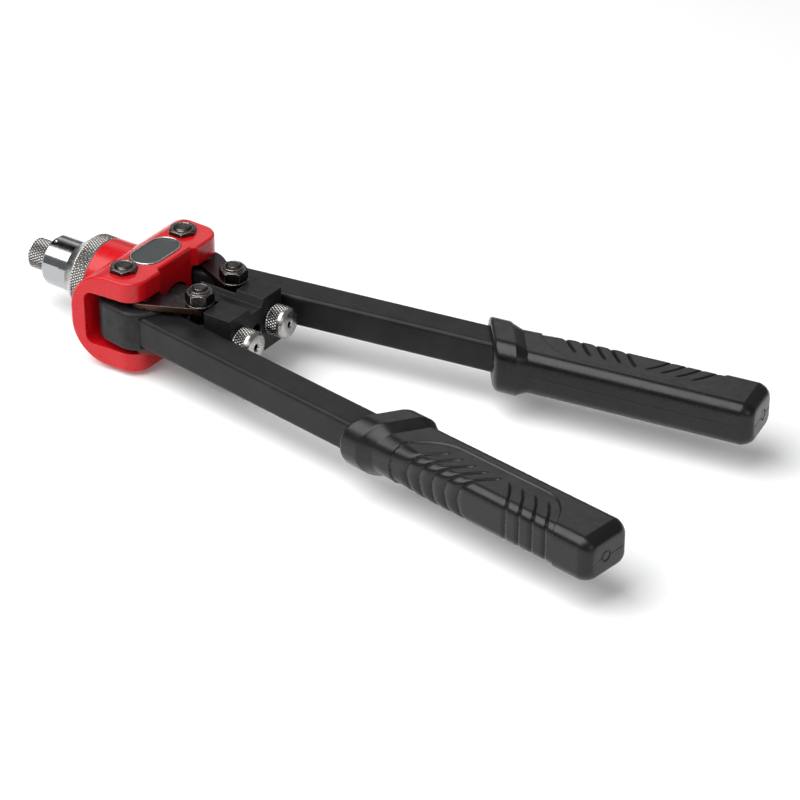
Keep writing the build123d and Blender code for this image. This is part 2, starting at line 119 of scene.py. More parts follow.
class RiveterColours(bpy.types.PropertyGroup):
    """Colours of the finishes."""

    enamel: colour_property("Enamel", "Baked enamel on the head casting", "#C20D17")
    badge: colour_property("Badge", "Blank anodised badge plate", "#3C4140")
    chrome: colour_property("Chrome", "Bright chrome plate on the nose housing", "#A6A7A9")
    nickel: colour_property("Nickel", "Satin nickel plate on the knurled pieces", "#B0AEAB")
    # bright edge colour of the fasteners: bare steel that also stands in for a painted highlight
    oxide: colour_property("Black Oxide", "Blackened bolts, nuts and washers", "#4B4744")
    worn_steel_and_highlight: colour_property("Worn Steel", "Bare steel where blackened edges have rubbed", "#E6E2DE")
    browned: colour_property("Browned Steel", "Flat faces of the oil-browned links", "#2C2628")
    brown_edge: colour_property("Brown Edge", "Sheared edges of the links", "#4E372E")
    casting: colour_property("Black Casting", "Blackened cast knuckles", "#131314")
    coat: colour_property("Powder Coat", "Satin black coat on the tubes", "#101011")
    block: colour_property("Black Block", "Phosphated draw block", "#141415")
    grip: colour_property("Grip", "Black moulded vinyl of the grips", "#0B0B0C")
    bronze: colour_property("Bronze", "Bronze rod bush", "#9C7240")
    bare_steel: colour_property("Bare Steel", "Ground steel inside the nose", "#B4B4B2")
    floor: colour_property("Floor", "Pale table under the tool", "#F7F7F7")


def sizes():
    """The sizes a user may change."""
    return bpy.context.scene.riveter_sizes


def colours():
    """The colours a user may change, as linear RGBA."""
    return bpy.context.scene.riveter_colours


# ---- surfaces ----


def smooth_step(t):
    """0 below 0, 1 above 1, and 3t² - 2t³ between."""
    t = np.clip(t, 0.0, 1.0)
    return t * t * (3.0 - 2.0 * t)


def triangle_wave(t):
    """0 at whole numbers, 1 half way between them, straight in between."""
    return 1.0 - np.abs(2.0 * (t - np.floor(t)) - 1.0)


def shell(rings, loop=False, groove=None):
    """Closed skin over rings of shape (n, m, 3): points of ring i are joined by quads to those of ring i + 1.
    With loop the last ring joins the first; otherwise a fan round its middle point closes each end.
    The faces are turned so that the volume they enclose is positive. groove is a number for each point."""
    n, m = rings.shape[:2]
    points = rings.reshape(-1, 3)
    i = np.arange(n if loop else n - 1)[:, None] * m
    j = np.arange(m)
    after = (j + 1) % m
    below = (i + m) % (n * m)
    quads = np.stack([i + j, i + after, below + after, below + j], -1).reshape(-1, 4)
    fans = np.zeros((0, 3), int)
    values = np.zeros(n * m) if groove is None else groove.reshape(-1)
    if not loop:
        points = np.concatenate([points, rings[[0, -1]].mean(1)])
        values = np.append(values, [0.0, 0.0])
        first = np.stack([np.full(m, n * m), after, j], -1)
        last = np.stack([np.full(m, n * m + 1), (n - 1) * m + j, (n - 1) * m + after], -1)
        fans = np.concatenate([first, last])
    triangles = np.concatenate([quads[:, [0, 1, 2]], quads[:, [0, 2, 3]], fans])
    a, b, c = (points[triangles[:, k]] for k in range(3))
    if np.einsum("ij,ij->", a, np.cross(b, c)) < 0:
        quads, fans = quads[:, ::-1], fans[:, ::-1]
    return points, quads, fans, values


def make_piece(name, shells, body, slot, replaces, crease=35.0):
    """One object from one or more closed shells, in the finish of its slot. It rides on a body and stands in
    for CAD nodes. Edges sharper than the crease, in degrees, stay sharp."""
    points, faces, values, count = [], [], [], 0
    for shell_points, quads, fans, groove in shells:
        points.append(shell_points)
        faces += (quads + count).tolist() + (fans + count).tolist()
        values.append(groove)
        count += len(shell_points)
    mesh = bpy.data.meshes.new(name)
    mesh.from_pydata(np.concatenate(points).tolist(), [], faces)
    mesh.polygons.foreach_set("use_smooth", np.ones(len(mesh.polygons), bool))
    mesh.set_sharp_from_angle(angle=math.radians(crease))
    attribute = mesh.attributes.new("groove", "FLOAT", "POINT")
    attribute.data.foreach_set("value", np.concatenate(values).astype(np.float32))
    mesh.materials.append(finish_for(slot))
    piece = bpy.data.objects.new(name, mesh)
    bpy.context.scene.collection.objects.link(piece)
    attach(piece, body)
    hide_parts(*replaces)


def turned(profile, centre=(0.0, 0.0, 0.0), segments=96, cut=None, axis="x"):
    """Rings of a turned part: each profile point (along, radius) is swept round the axis through centre.
    cut(along, angle, radius) gives what is taken off the radius, and the rings' groove values."""
    along, radius = np.array(profile, float).T[:, :, None]
    angle = np.linspace(0, 2 * math.pi, segments, endpoint=False)[None, :]
    taken, groove = cut(along, angle, radius) if cut else (0.0, np.zeros((len(along), segments)))
    reach = radius - taken + 0.0 * angle
    run = along + 0.0 * angle
    across = [reach * np.cos(angle), reach * np.sin(angle)]
    rings = np.stack([run, *across] if axis == "x" else [*across, run], -1)
    return rings + np.array(centre), groove


def diamond_knurl(start, end, radius, pitch, depth):
    """Cut of a diamond knurl between two places along a turned part. Two families of helical V-grooves cross
    at 60 degrees. A point's height is the lower of its heights over both, and the cut fades in over 0.4 pitch
    at each end."""
    starts = round(2 * math.pi * radius * math.cos(math.radians(30)) / pitch)

    def cut(along, angle, _radius):
        turn = starts * angle / (2 * math.pi)
        lean = along * math.sin(math.radians(30)) / pitch
        height = np.minimum(triangle_wave(turn + lean), triangle_wave(turn - lean))
        fade = smooth_step((along - start) / (0.4 * pitch)) * smooth_step((end - along) / (0.4 * pitch))
        groove = (1.0 - height) * fade
        return depth * np.clip(1.35 * groove - 0.35, 0.0, 1.0), groove

    return cut


def fine_rows(start, end, radius, step):
    """Profile points at one radius, step apart, dense enough to carry a knurl."""
    count = max(2, round((end - start) / step))
    return [(x, radius) for x in np.linspace(start, end, count)]


def hexagon(angle, half_flats, turn):
    """Reach of a hexagon's side at an angle: half_flats / cos(angle from the nearest flat)."""
    sixth = math.pi / 3
    return half_flats / np.cos((angle - turn) % sixth - sixth / 2)


def round_z(reach, angle, height):
    """Rings round the Z axis: (reach cos angle, reach sin angle, height)."""
    return np.stack(np.broadcast_arrays(reach * np.cos(angle), reach * np.sin(angle), height), -1)


def hex_rings(low, high, half_flats, turn, centre, top_bevel, bottom_bevel, inner):
    """Rings of a bevelled hexagon between two heights, then round rings at the inner (height, radius) points.
    The radius is the smaller of the hexagon's and of a 30 degree cone that starts a little inside the flats
    at each bevelled face."""
    height = np.concatenate([[low], np.linspace(low, high, 23)[1:-1], [high]])[:, None]
    angle = np.linspace(0, 2 * math.pi, 144, endpoint=False)[None, :]
    face = 0.97 * half_flats
    slope = 1 / math.tan(math.radians(30))
    reach = hexagon(angle, half_flats, turn)
    if top_bevel:
        reach = np.minimum(reach, face + slope * (high - height))
    if bottom_bevel:
        reach = np.minimum(reach, face + slope * (height - low))
    rings = [round_z(reach, angle, height)] + [round_z(radius, angle, z) for z, radius in inner]
    return np.concatenate(rings) + np.array([*centre, 0.0])


def stadium(length, width, count):
    """Outline of a slot with its long axis along Y: points and outward normals. Each end is a half circle of
    radius width / 2 about its own centre, and the normals turn evenly round the ends."""
    half = count // 2
    angle = np.concatenate([np.linspace(0, math.pi, half), np.linspace(math.pi, 2 * math.pi, half)])
    normal = np.stack([np.cos(angle), np.sin(angle)], -1)
    shift = np.where(np.arange(2 * half) < half, 1.0, -1.0) * (length - width) / 2
    centre = np.stack([np.zeros(2 * half), shift], -1)
    return centre + normal * width / 2, normal


# ---- the grips' section and surface ----

# Each section: reach towards the tool's axis, reach outwards, half height, outer and inner corner radii.
# The flange leans forward by GRIP_RAKE for every metre outwards.
BODY_REACH = (15.4 * MM, 12.0 * MM, 10.8 * MM)
FLANGE_SECTION = np.array([17.95, 14.55, 13.55, 12.4, 8.0]) * MM
BORE_CORNER = 2.2 * MM
NECK_SOFTENING = 3.5 * MM
FLANGE_ROUND = 2.2 * MM
GRIP_RAKE = 0.555
RING_STEP = 0.35 * MM
UNRAKE_LENGTH = 32 * MM
NECK_LENGTH = 28 * MM
END_LENGTH = 5.6 * MM
END_INSET = 4.7 * MM
END_CREASE = math.radians(22)
GATE_SHARES = (0.25, 0.5, 0.72, 0.86, 0.95)
GATE_RADIUS = 2.8 * MM
SEAM_HEIGHT = 0.07 * MM
FIRST_FRONT_GROOVE = 187.8 * MM
FIRST_REAR_GROOVE = 244.3 * MM


def section_template():
    """Columns of a rounded box's outline, from the middle of its outer side up, over and round. Each has the
    place of its corner's centre, from -1 to 1 both ways, and its normal; the lower half mirrors the upper."""
    rise = np.linspace(0, 1, 11)[:-1]
    turn = np.linspace(0, math.pi / 2, 23)
    flat = np.linspace(1, -1, 40)[1:-1]
    fall = np.concatenate([np.linspace(1, 0.12, 9)[1:], np.linspace(0.12, 0, 7)[1:]])
    one = np.ones(len(turn))
    across = np.concatenate([np.ones(len(rise)), one, flat, -one, -np.ones(len(fall))])
    up = np.concatenate([rise, one, np.ones(len(flat)), one, fall])
    top = np.full(len(flat), math.pi / 2)
    angle = np.concatenate([0 * rise, turn, top, math.pi / 2 + turn, np.full(len(fall), math.pi)])
    mirror = slice(-2, 0, -1)
    across = np.concatenate([across, across[mirror]])
    up = np.concatenate([up, -up[mirror]])
    angle = np.concatenate([angle, -angle[mirror]])
    return across, up, np.cos(angle), np.sin(angle)


def box_section(template, inner, outer, half_height, outer_corner, inner_corner):
    """Points (out, up) of rounded boxes, one row for each size: the corner's centre plus radius times normal.
    The radius goes evenly from the outer corners' to the inner corners' across the flat top."""
    across, up, normal_out, normal_up = template
    rows = (inner, outer, half_height, outer_corner, inner_corner)
    inner, outer, half_height, outer_corner, inner_corner = (np.atleast_1d(v)[:, None] for v in rows)
    corner = inner_corner + (outer_corner - inner_corner) * (across + 1) / 2
    middle, half = (outer - inner) / 2, (outer + inner) / 2
    out = middle + across * (half - corner) + corner * normal_out
    height = up * (half_height - corner) + corner * normal_up
    return out, height


def girth(out, height):
    """Distance round the section from the middle of the outer side, measured the shorter way."""
    step = np.hypot(np.diff(out, append=out[:1]), np.diff(height, append=height[:1]))
    place = np.concatenate([[0.0], np.cumsum(step)[:-1]])
    return np.minimum(place, step.sum() - place)


def panel_edge(u):
    """Half width, round the section, of the recessed finger panel at u: 28.5 mm in the middle, closing as an
    ellipse over the 25 mm in front of 204 mm and as a blunter superellipse over the 24.5 mm behind 248 mm."""
    front = np.clip((204 * MM - u) / (25 * MM), 0, None)
    rear = np.clip((u - 248 * MM) / (24.5 * MM), 0, None)
    ellipse = np.clip(1 - front ** 2, 0, None) ** 0.5
    blunt = np.clip(1 - rear ** 2.8, 0, None) ** 0.62
    return 28.5 * MM * ellipse * blunt - 0.8 * MM * ((front > 1) | (rear > 1))


def front_groove(place):
    """How far a hooked front groove runs back from its apex on the side: 13.7 (place / 22.4)^1.55 mm."""
    return 13.7 * MM * (place / (22.4 * MM)) ** 1.55


def rear_groove(place):
    """Lean of an upright rear groove: straight over the first 9 mm from the middle of the side, then forward
    by 8.5 mm over the next 13.4 mm, as the power 1.6."""
    over = np.clip((place - 9 * MM) / (13.4 * MM), 0, None)
    return -8.5 * MM * over ** 1.6


def groove_cut(u, place, first, count, lean, half_width, power):
    """Cusped cuts (1 - |distance| / half width)^power along parallel lines, one pitch apart, each with a fine
    line 0.7 mm to either side at its bottom. A cut narrows to 38% where it runs over the top, and dies out
    from 20.4 to 23.6 mm round the section."""
    pitch = sizes().groove_pitch
    line = u - lean(place)
    width = half_width * (1 - 0.62 * smooth_step((place - 7 * MM) / (8 * MM)))
    total = np.zeros_like(u)
    for k in range(count):
        distance = np.abs(line - first - k * pitch)
        cusp = np.clip(1 - distance / width, 0, 1) ** power
        fine = np.clip(1 - distance / (0.7 * MM), 0, 1)
        total = np.maximum(total, 0.72 * cusp + 0.28 * fine)
    return total * smooth_step((23.6 * MM - place) / (3.2 * MM))


def grip_relief(u, place):
    """Depth of the panel and its grooves below the plain surface."""
    size = sizes()
    inside = smooth_step((panel_edge(u) - place) / (0.8 * MM))
    front = groove_cut(u, place, FIRST_FRONT_GROOVE, 5, front_groove, 3.7 * MM, 2.0)
    rear = groove_cut(u, place, FIRST_REAR_GROOVE, 4, rear_groove, 1.9 * MM, 1.4)
    return inside * (size.panel_depth + size.groove_depth * np.maximum(front, 0.8 * rear))


def reach_along(node, start, direction):
    """Furthest a CAD node reaches from a start in a direction."""
    mesh = NODES[node].data
    points = np.zeros(3 * len(mesh.vertices), np.float32)
    mesh.vertices.foreach_get("co", points)
    return float(((points.reshape(-1, 3) - np.array(start)) @ np.array(direction)).max())


def inset(section, amount):
    """A section drawn in by an amount all round, its corner radii by six tenths of it."""
    return section - amount * np.array([1, 1, 1, 0.6, 0.6])


def flange_rows(bore, neck):
    """Rows (place, rake, section) of the flange: out of the bore, round the front edge, band and taper."""
    size = sizes()
    front, band = size.flange_front, size.flange_band
    mouth = bore + np.array([0.5, 0.5, 0.5, 0.3, 0.3]) * MM
    rows = [(front + 1.5 * MM, 1.0, bore), (front, 1.0, mouth)]
    for turn in np.linspace(0, math.pi / 2, 9):
        place = front + FLANGE_ROUND * (1 - math.cos(turn))
        rows.append((place, 1.0, inset(FLANGE_SECTION, FLANGE_ROUND * (1 - math.sin(turn)))))
    for place in np.linspace(front + FLANGE_ROUND, front + band, 12)[1:]:
        rows.append((place, 1.0, FLANGE_SECTION))
    for share in np.linspace(0, 1, 12)[1:]:
        section = FLANGE_SECTION + (neck - FLANGE_SECTION) * share ** 0.85
        rows.append((front + band + share * size.flange_taper, 1.0, section))
    return rows


def body_rows(body_start, body_end, body, neck):
    """Rows from the flange to the end's crease. The rake and the neck's softer corners fade out smoothly."""
    rows = []
    for place in np.arange(body_start + RING_STEP, body_end, RING_STEP):
        rake = 1 - float(smooth_step((place - body_start) / UNRAKE_LENGTH))
        softness = 1 - float(smooth_step((place - body_start) / NECK_LENGTH))
        rows.append((place, rake, body + (neck - body) * softness))
    return rows


def end_rows(grip_end, body):
    """Rows past the crease: the end turns in along an ellipse, whose first 22 degrees are left out."""
    rows = []
    for turn in np.linspace(END_CREASE, math.pi / 2, 14):
        amount = END_INSET * (math.cos(END_CREASE) - math.cos(turn))
        run = (math.sin(turn) - math.sin(END_CREASE)) / (1 - math.sin(END_CREASE))
        rows.append((grip_end - END_LENGTH * (1 - run), 0.0, inset(body, amount)))
    return rows


def gate_mark(angle, grip_end):
    """Rings of the gate mark in the end face, a round groove with a raised disc: place, out and up."""
    rings = []
    for share, depth in ((0.99, 0.0), (0.90, 0.38), (0.78, 0.42), (0.70, 0.12), (0.1, 0.08)):
        radius = share * GATE_RADIUS
        rings.append((0 * angle + grip_end - depth * MM, radius * np.cos(angle), radius * np.sin(angle)))
    return (np.stack(part) for part in zip(*rings))


def grip_rings(side, pivot, along, outward):
    """Rings of one grip in the row frame. u runs along the handle and each ring lies in a plane that is raked
    in the flange, u = place - rake * out, and square behind it. Rings follow the tube's bore out to the front
    face, round the flange's edge, back along band and taper, along the panel and round the end. On the end
    face they turn from the section's outline into a circle round the gate mark."""
    size = sizes()
    template = section_template()
    tube_low, tube_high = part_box(f"{side}_tube")
    tube = (tube_high.z - tube_low.z) / 2
    grip_end = reach_along(f"{side}_grip", pivot, along)
    body_start = size.flange_front + size.flange_band + size.flange_taper
    body_end = grip_end - END_LENGTH
    body = np.array([*BODY_REACH, size.grip_corner, size.grip_corner])
    neck = body + np.array([0.0, 0.0, 0.0, NECK_SOFTENING, 0.0])
    bore = np.array([tube, tube, tube, BORE_CORNER, BORE_CORNER])

    rows = [(reach_along(f"{side}_tube", pivot, along), 0.0, bore)]
    rows += flange_rows(bore, neck) + body_rows(body_start, body_end, body, neck) + end_rows(grip_end, body)
    end_section = rows[-1][2]
    circle = np.array([0.0] * len(rows) + list(GATE_SHARES))[:, None]
    rows += [(grip_end, 0.0, end_section * (1 - 0.7 * share)) for share in GATE_SHARES]
    place, rake, section = (np.array(column) for column in zip(*rows))

    out, height = box_section(template, *section.T)
    angle = np.arctan2(height, out)
    out = out * (1 - circle) + GATE_RADIUS * np.cos(angle) * circle
    height = height * (1 - circle) + GATE_RADIUS * np.sin(angle) * circle
    u = place[:, None] - GRIP_RAKE * rake[:, None] * out

    plain_out, plain_up = box_section(template, *body[:, None])
    place_round = girth(plain_out[0], plain_up[0])[None, :] + 0.0 * u
    on_body = ((place > body_start - 1e-6) & (place < body_end))[:, None]
    relief = grip_relief(u, place_round) * on_body
    # the mould's parting line: a low ridge along the inner side, a fine groove across the end face
    seam = SEAM_HEIGHT * np.exp(-((height / (0.28 * MM)) ** 2)) * (out < 0) * on_body
    on_end = (place > grip_end - 0.01 * MM)[:, None]
    u = u - 0.16 * MM * (np.abs(height) < 0.2 * MM) * on_end
    out = out - (relief - seam) * template[2]
    height = height - relief * template[3]

    mark_u, mark_out, mark_up = gate_mark(angle[-1], grip_end)
    u = np.concatenate([u, mark_u])
    out = np.concatenate([out, mark_out])
    height = np.concatenate([height, mark_up])
    groove = np.concatenate([relief / (size.panel_depth + size.groove_depth), 0.0 * mark_u])
    rings = np.array(pivot) + u[..., None] * np.array(along) + out[..., None] * np.array(outward)
    rings[..., 2] = pivot.z + height
    return rings, groove


# ---- finishes ----


def add(tree, kind, inputs=None, output=0, **settings):
    """Adds a node of a kind with its properties, sets or links its inputs, and returns one of its outputs."""
    made = tree.nodes.new(kind)
    for name, value in settings.items():
        setattr(made, name, value)
    for socket, value in (inputs or {}).items():
        if isinstance(value, bpy.types.NodeSocket):
            tree.links.new(value, made.inputs[socket])
        else:
            made.inputs[socket].default_value = value
    return made.outputs[output]


def finish(name, **values):
    """A Principled material with its uniform values on the shader's own sockets, and its tree."""
    made = bpy.data.materials.new(name)
    made.use_nodes = True
    for socket, value in values.items():
        made.node_tree.nodes["Principled BSDF"].inputs[socket.replace("_", " ")].default_value = value
    return made, made.node_tree


def dress(made, colour, roughness=None, normal=None):
    """Links patterns to a finish's shader and returns the finish. None leaves the shader's own value."""
    shader = made.node_tree.nodes["Principled BSDF"]
    for socket, value in (("Base Color", colour), ("Roughness", roughness), ("Normal", normal)):
        if value is not None:
            made.node_tree.links.new(value, shader.inputs[socket])
    return made


def grain(tree, spacing, detail=3.0, stretch=(1.0, 1.0, 1.0)):
    """Noise on object coordinates with blotches spacing metres apart, drawn out where stretch is small."""
    place = add(tree, "ShaderNodeTexCoord", output="Object")
    mapped = add(tree, "ShaderNodeMapping", {"Vector": place, "Scale": stretch})
    inputs = {"Vector": mapped, "Scale": 1 / spacing, "Detail": detail, "Roughness": 0.55}
    return add(tree, "ShaderNodeTexNoise", inputs)


def patches(tree, pattern, start, end, low=0.3, high=0.7):
    """A grain, or the spacing of a new one, mapped straight from low..high to start..end and held beyond."""
    value = pattern if isinstance(pattern, bpy.types.NodeSocket) else grain(tree, pattern)
    return add(tree, "ShaderNodeMapRange", {0: value, 1: low, 2: high, 3: start, 4: end})


def patchy_colour(tree, pattern, first, second, share=1.0, low=0.3, high=0.7):
    """First colour, going over to a share of the second in the patches of a grain."""
    inputs = {0: patches(tree, pattern, 0.0, share, low, high), 6: first, 7: second}
    return add(tree, "ShaderNodeMix", inputs, 2, data_type="RGBA")


def edge_wear_and_highlight(tree, radius, low, high, amount=1.0):
    """0 on flats and an amount on outer edges, as the cosine of the angle between a normal rounded over a
    radius and the true one goes from high to low. The mask carries painted edge highlights as well as rubbed
    edges."""
    rounded = add(tree, "ShaderNodeBevel", {"Radius": radius}, samples=6)
    true = add(tree, "ShaderNodeNewGeometry", output="Normal")
    cosine = add(tree, "ShaderNodeVectorMath", {0: rounded, 1: true}, "Value", operation="DOT_PRODUCT")
    return add(tree, "ShaderNodeMapRange", {0: cosine, 1: high, 2: low, 4: amount})


def skin(tree, pattern, height, edge_radius=None):
    """Normal of a surface that a grain raises by a height. With an edge radius its edges are rounded as well,
    as a deburred or coated edge is."""
    inputs = {"Height": pattern, "Distance": height}
    if edge_radius is not None:
        inputs["Normal"] = add(tree, "ShaderNodeBevel", {"Radius": edge_radius}, samples=6)
    return add(tree, "ShaderNodeBump", inputs)


def baked_enamel():
    """Baked enamel on an iron casting: a thick glossy coat with slight orange peel, a slightly deeper red in
    random patches, and paler pink edges that are a painted highlight."""
    made, tree = finish(
        "baked_red_enamel", Coat_Weight=0.25, Coat_Roughness=0.1, Specular_IOR_Level=0.25
    )
    red = colours().enamel
    base = patchy_colour(tree, 18 * MM, red, linear("#A80B13"), 0.16, low=0.35)
    # painted highlight: the edges go a paler pink, as where the light catches them
    painted_edge_highlight = add(tree, "ShaderNodeMix", {0: 0.35, 6: red, 7: linear("#F04A55")}, 2, data_type="RGBA")
    edges = edge_wear_and_highlight(tree, 1.0 * MM, 0.90, 0.995, 0.55)
    colour = add(tree, "ShaderNodeMix", {0: edges, 6: base, 7: painted_edge_highlight}, 2, data_type="RGBA")
    peel = skin(tree, grain(tree, 1.6 * MM, 1.0), 0.025 * MM, 0.6 * MM)
    return dress(made, colour, patches(tree, 6 * MM, 0.24, 0.34), peel)


def chrome_plate():
    """Bright chrome over turned steel: a near mirror with faint turning lines round the axis."""
    made, tree = finish("bright_chrome_plate", Metallic=1.0, Base_Color=colours().chrome)
    lines = grain(tree, 0.5 * MM, 2.0, (1.0, 0.04, 0.04))
    rough = patches(tree, 5 * MM, 0.10, 0.20, low=0.35)
    return dress(made, None, rough, skin(tree, lines, 0.002 * MM))


def nickel_plate():
    """Satin nickel on knurled steel: bright crests, grooves darkened by cutting oil and shadow."""
    made, tree = finish("satin_nickel_plate", Metallic=1.0)
    groove = add(tree, "ShaderNodeAttribute", output="Fac", attribute_name="groove")
    colour = patchy_colour(tree, groove, colours().nickel, linear("#2E2C2A"), 0.9, 0.30, 0.85)
    rough = patches(tree, 2 * MM, 0.2, 0.34)
    return dress(made, colour, rough, skin(tree, grain(tree, 0.4 * MM), 0.004 * MM))


def black_oxide():
    """Hot black oxide on steel fasteners: oily near-black flats with a brown cast, and bright edges, partly
    rubbed bare steel and partly a painted highlight.
    """
    made, tree = finish("black_oxide_steel", Metallic=1.0)
    base = patchy_colour(tree, 3.5 * MM, colours().oxide, linear("#2B2523"), low=0.35)
    broken = patches(tree, 1.2 * MM, 0.45, 1.0, 0.25, 0.6)
    # the bright edges are partly rubbed steel and partly a painted highlight
    edges = edge_wear_and_highlight(tree, 0.5 * MM, 0.86, 0.992)
    wear_and_highlight = add(tree, "ShaderNodeMath", {0: edges, 1: broken}, operation="MULTIPLY")
    colour = add(tree, "ShaderNodeMix", {0: wear_and_highlight, 6: base, 7: colours().worn_steel_and_highlight}, 2, data_type="RGBA")
    rough = patches(tree, 1.5 * MM, 0.22, 0.42)
    return dress(made, colour, rough, skin(tree, grain(tree, 0.6 * MM), 0.012 * MM, 0.25 * MM))


def browned_steel():
    """Oil-browned strip steel: purplish black faces, warmer brown sheared edges and a bright rim, partly
    rubbed steel and partly a painted highlight.
    """
    made, tree = finish("browned_strip_steel", Metallic=1.0)
    facing = add(tree, "ShaderNodeTexCoord", output="Normal")
    up = add(tree, "ShaderNodeSeparateXYZ", {0: facing}, "Z")
    level = add(tree, "ShaderNodeMath", {0: up}, operation="ABSOLUTE")
    face = patchy_colour(tree, 7 * MM, colours().browned, linear("#3E3539"), low=0.35)
    flat = add(tree, "ShaderNodeMapRange", {0: level, 1: 0.4, 2: 0.8})
    base = add(tree, "ShaderNodeMix", {0: flat, 6: colours().brown_edge, 7: face}, 2, data_type="RGBA")
    # the bright rim is partly rubbed steel and partly a painted highlight
    wear_and_highlight = edge_wear_and_highlight(tree, 0.4 * MM, 0.82, 0.985, 0.75)
    colour = add(tree, "ShaderNodeMix", {0: wear_and_highlight, 6: base, 7: linear("#8C7A74")}, 2, data_type="RGBA")
    rough = patches(tree, 2.5 * MM, 0.26, 0.44)
    return dress(made, colour, rough, skin(tree, grain(tree, 1.5 * MM), 0.02 * MM, 0.35 * MM))


def black_casting():
    """Blackened investment casting: softly pebbled skin under thin black paint."""
    made, tree = finish("blackened_steel_casting", Specular_IOR_Level=0.22)
    colour = patchy_colour(tree, 5 * MM, colours().casting, linear("#262628"))
    rough = patches(tree, 2 * MM, 0.36, 0.52)
    return dress(made, colour, rough, skin(tree, grain(tree, 0.9 * MM, 4.0), 0.05 * MM, 0.8 * MM))


def powder_coat():
    """Satin black powder coat on square tube: even colour, a fine pebble and soft corners."""
    made, tree = finish("satin_powder_coat", Specular_IOR_Level=0.22)
    colour = patchy_colour(tree, 12 * MM, colours().coat, linear("#1C1C1D"))
    rough = patches(tree, 3 * MM, 0.36, 0.46)
    return dress(made, colour, rough, skin(tree, grain(tree, 0.5 * MM, 2.0), 0.012 * MM, 0.5 * MM))


def phosphated_block():
    """Manganese phosphate on milled steel: soft black, with faint milling marks and paler arrises, partly
    wear and partly a painted highlight.
    """
    made, tree = finish("phosphated_milled_steel", Specular_IOR_Level=0.22)
    base = patchy_colour(tree, 8 * MM, colours().block, linear("#1F1F20"))
    # the paler arrises are partly wear and partly a painted highlight
    wear_and_highlight = edge_wear_and_highlight(tree, 0.4 * MM, 0.86, 0.99, 0.4)
    colour = add(tree, "ShaderNodeMix", {0: wear_and_highlight, 6: base, 7: linear("#6A6A6A")}, 2, data_type="RGBA")
    rough = patches(tree, 2.5 * MM, 0.40, 0.52)
    marks = grain(tree, 0.6 * MM, 2.0, (0.15, 1.0, 1.0))
    return dress(made, colour, rough, skin(tree, marks, 0.01 * MM, 0.4 * MM))


def moulded_vinyl():
    """Injection moulded black vinyl: satin skin with a fine grain, and a little darker in the grooves, which
    is painted shade.
    """
    made, tree = finish("moulded_black_vinyl", Specular_IOR_Level=0.36)
    groove = add(tree, "ShaderNodeAttribute", output="Fac", attribute_name="groove")
    body = patchy_colour(tree, 14 * MM, colours().grip, linear("#141415"))
    # painted shade: the grooves' colour goes towards a flat near-black
    colour = patchy_colour(tree, groove, body, linear("#0E0E0E"), 0.5, 0.5, 1.0)
    rough = patches(tree, 4 * MM, 0.25, 0.34)
    return dress(made, colour, rough, skin(tree, grain(tree, 0.35 * MM, 2.0), 0.008 * MM))


def anodised_badge():
    """Blank anodised aluminium plate: flat grey with a fine brushed grain along its length."""
    made, tree = finish("anodised_aluminium", Metallic=0.3)
    brushed = grain(tree, 0.5 * MM, 2.0, (1.0, 0.1, 1.0))
    colour = patchy_colour(tree, brushed, colours().badge, linear("#4C5251"), 0.5)
    return dress(made, colour, patches(tree, brushed, 0.42, 0.55), skin(tree, brushed, 0.003 * MM))


def polished_trim():
    """Polished aluminium rim: a bright bead with hairline scratches inside a near-black outer step, which is
    painted shade for the shadow round the rim.
    """
    made, tree = finish("polished_aluminium", Metallic=1.0)
    scratches = grain(tree, 0.6 * MM)
    step = add(tree, "ShaderNodeAttribute", output="Fac", attribute_name="groove")
    # painted shade: the outer step goes near black
    colour = patchy_colour(tree, step, linear("#DEDEDD"), linear("#121212"), 1.0, 0.2, 0.8)
    return dress(made, colour, patches(tree, scratches, 0.12, 0.24), skin(tree, scratches, 0.003 * MM))


def ground_steel():
    """Ground steel: fine marks round the axis under a film of oil."""
    made, tree = finish("ground_steel", Metallic=1.0)
    marks = grain(tree, 0.4 * MM, 2.0, (1.0, 0.05, 0.05))
    colour = patchy_colour(tree, marks, colours().bare_steel, linear("#8E8D8A"))
    return dress(made, colour, patches(tree, marks, 0.22, 0.38), skin(tree, marks, 0.004 * MM))


def sintered_bronze():
    """Sintered bronze bush: warm and porous."""
    made, tree = finish("sintered_bronze", Metallic=1.0)
    pores = grain(tree, 0.5 * MM)
    colour = patchy_colour(tree, pores, linear("#6E4F2B"), colours().bronze, 1.0, 0.35, 0.6)
    return dress(made, colour, patches(tree, pores, 0.45, 0.3), skin(tree, pores, 0.01 * MM))


FINISHES = {
    "red_enamel": baked_enamel,
    "chrome_plate": chrome_plate,
    "nickel_plate": nickel_plate,
    "black_oxide": black_oxide,
    "browned_steel": browned_steel,
    "black_casting": black_casting,
    "black_powder_coat": powder_coat,
    "black_block": phosphated_block,
    "black_grip": moulded_vinyl,
    "badge_grey": anodised_badge,
    "polished_rim": polished_trim,
    "bright_steel": ground_steel,
    "bronze": sintered_bronze,
}
made_finishes = {}


def finish_for(slot):
    """The material of a slot, made once."""
    if slot not in made_finishes:
        made_finishes[slot] = FINISHES[slot]()
    return made_finishes[slot]


# ---- operators ----


class RIVETER_OT_finish_castings(bpy.types.Operator):
    """Give the head, tubes, links and other carried-over parts their finishes"""

    bl_idname = "riveter.finish_castings"
    bl_label = "Finish Castings and Tubes"

    def execute(self, context):
        for node in NODES.values():
            for holder in node.material_slots:
                holder.material = finish_for(holder.material.name)
        return {"FINISHED"}


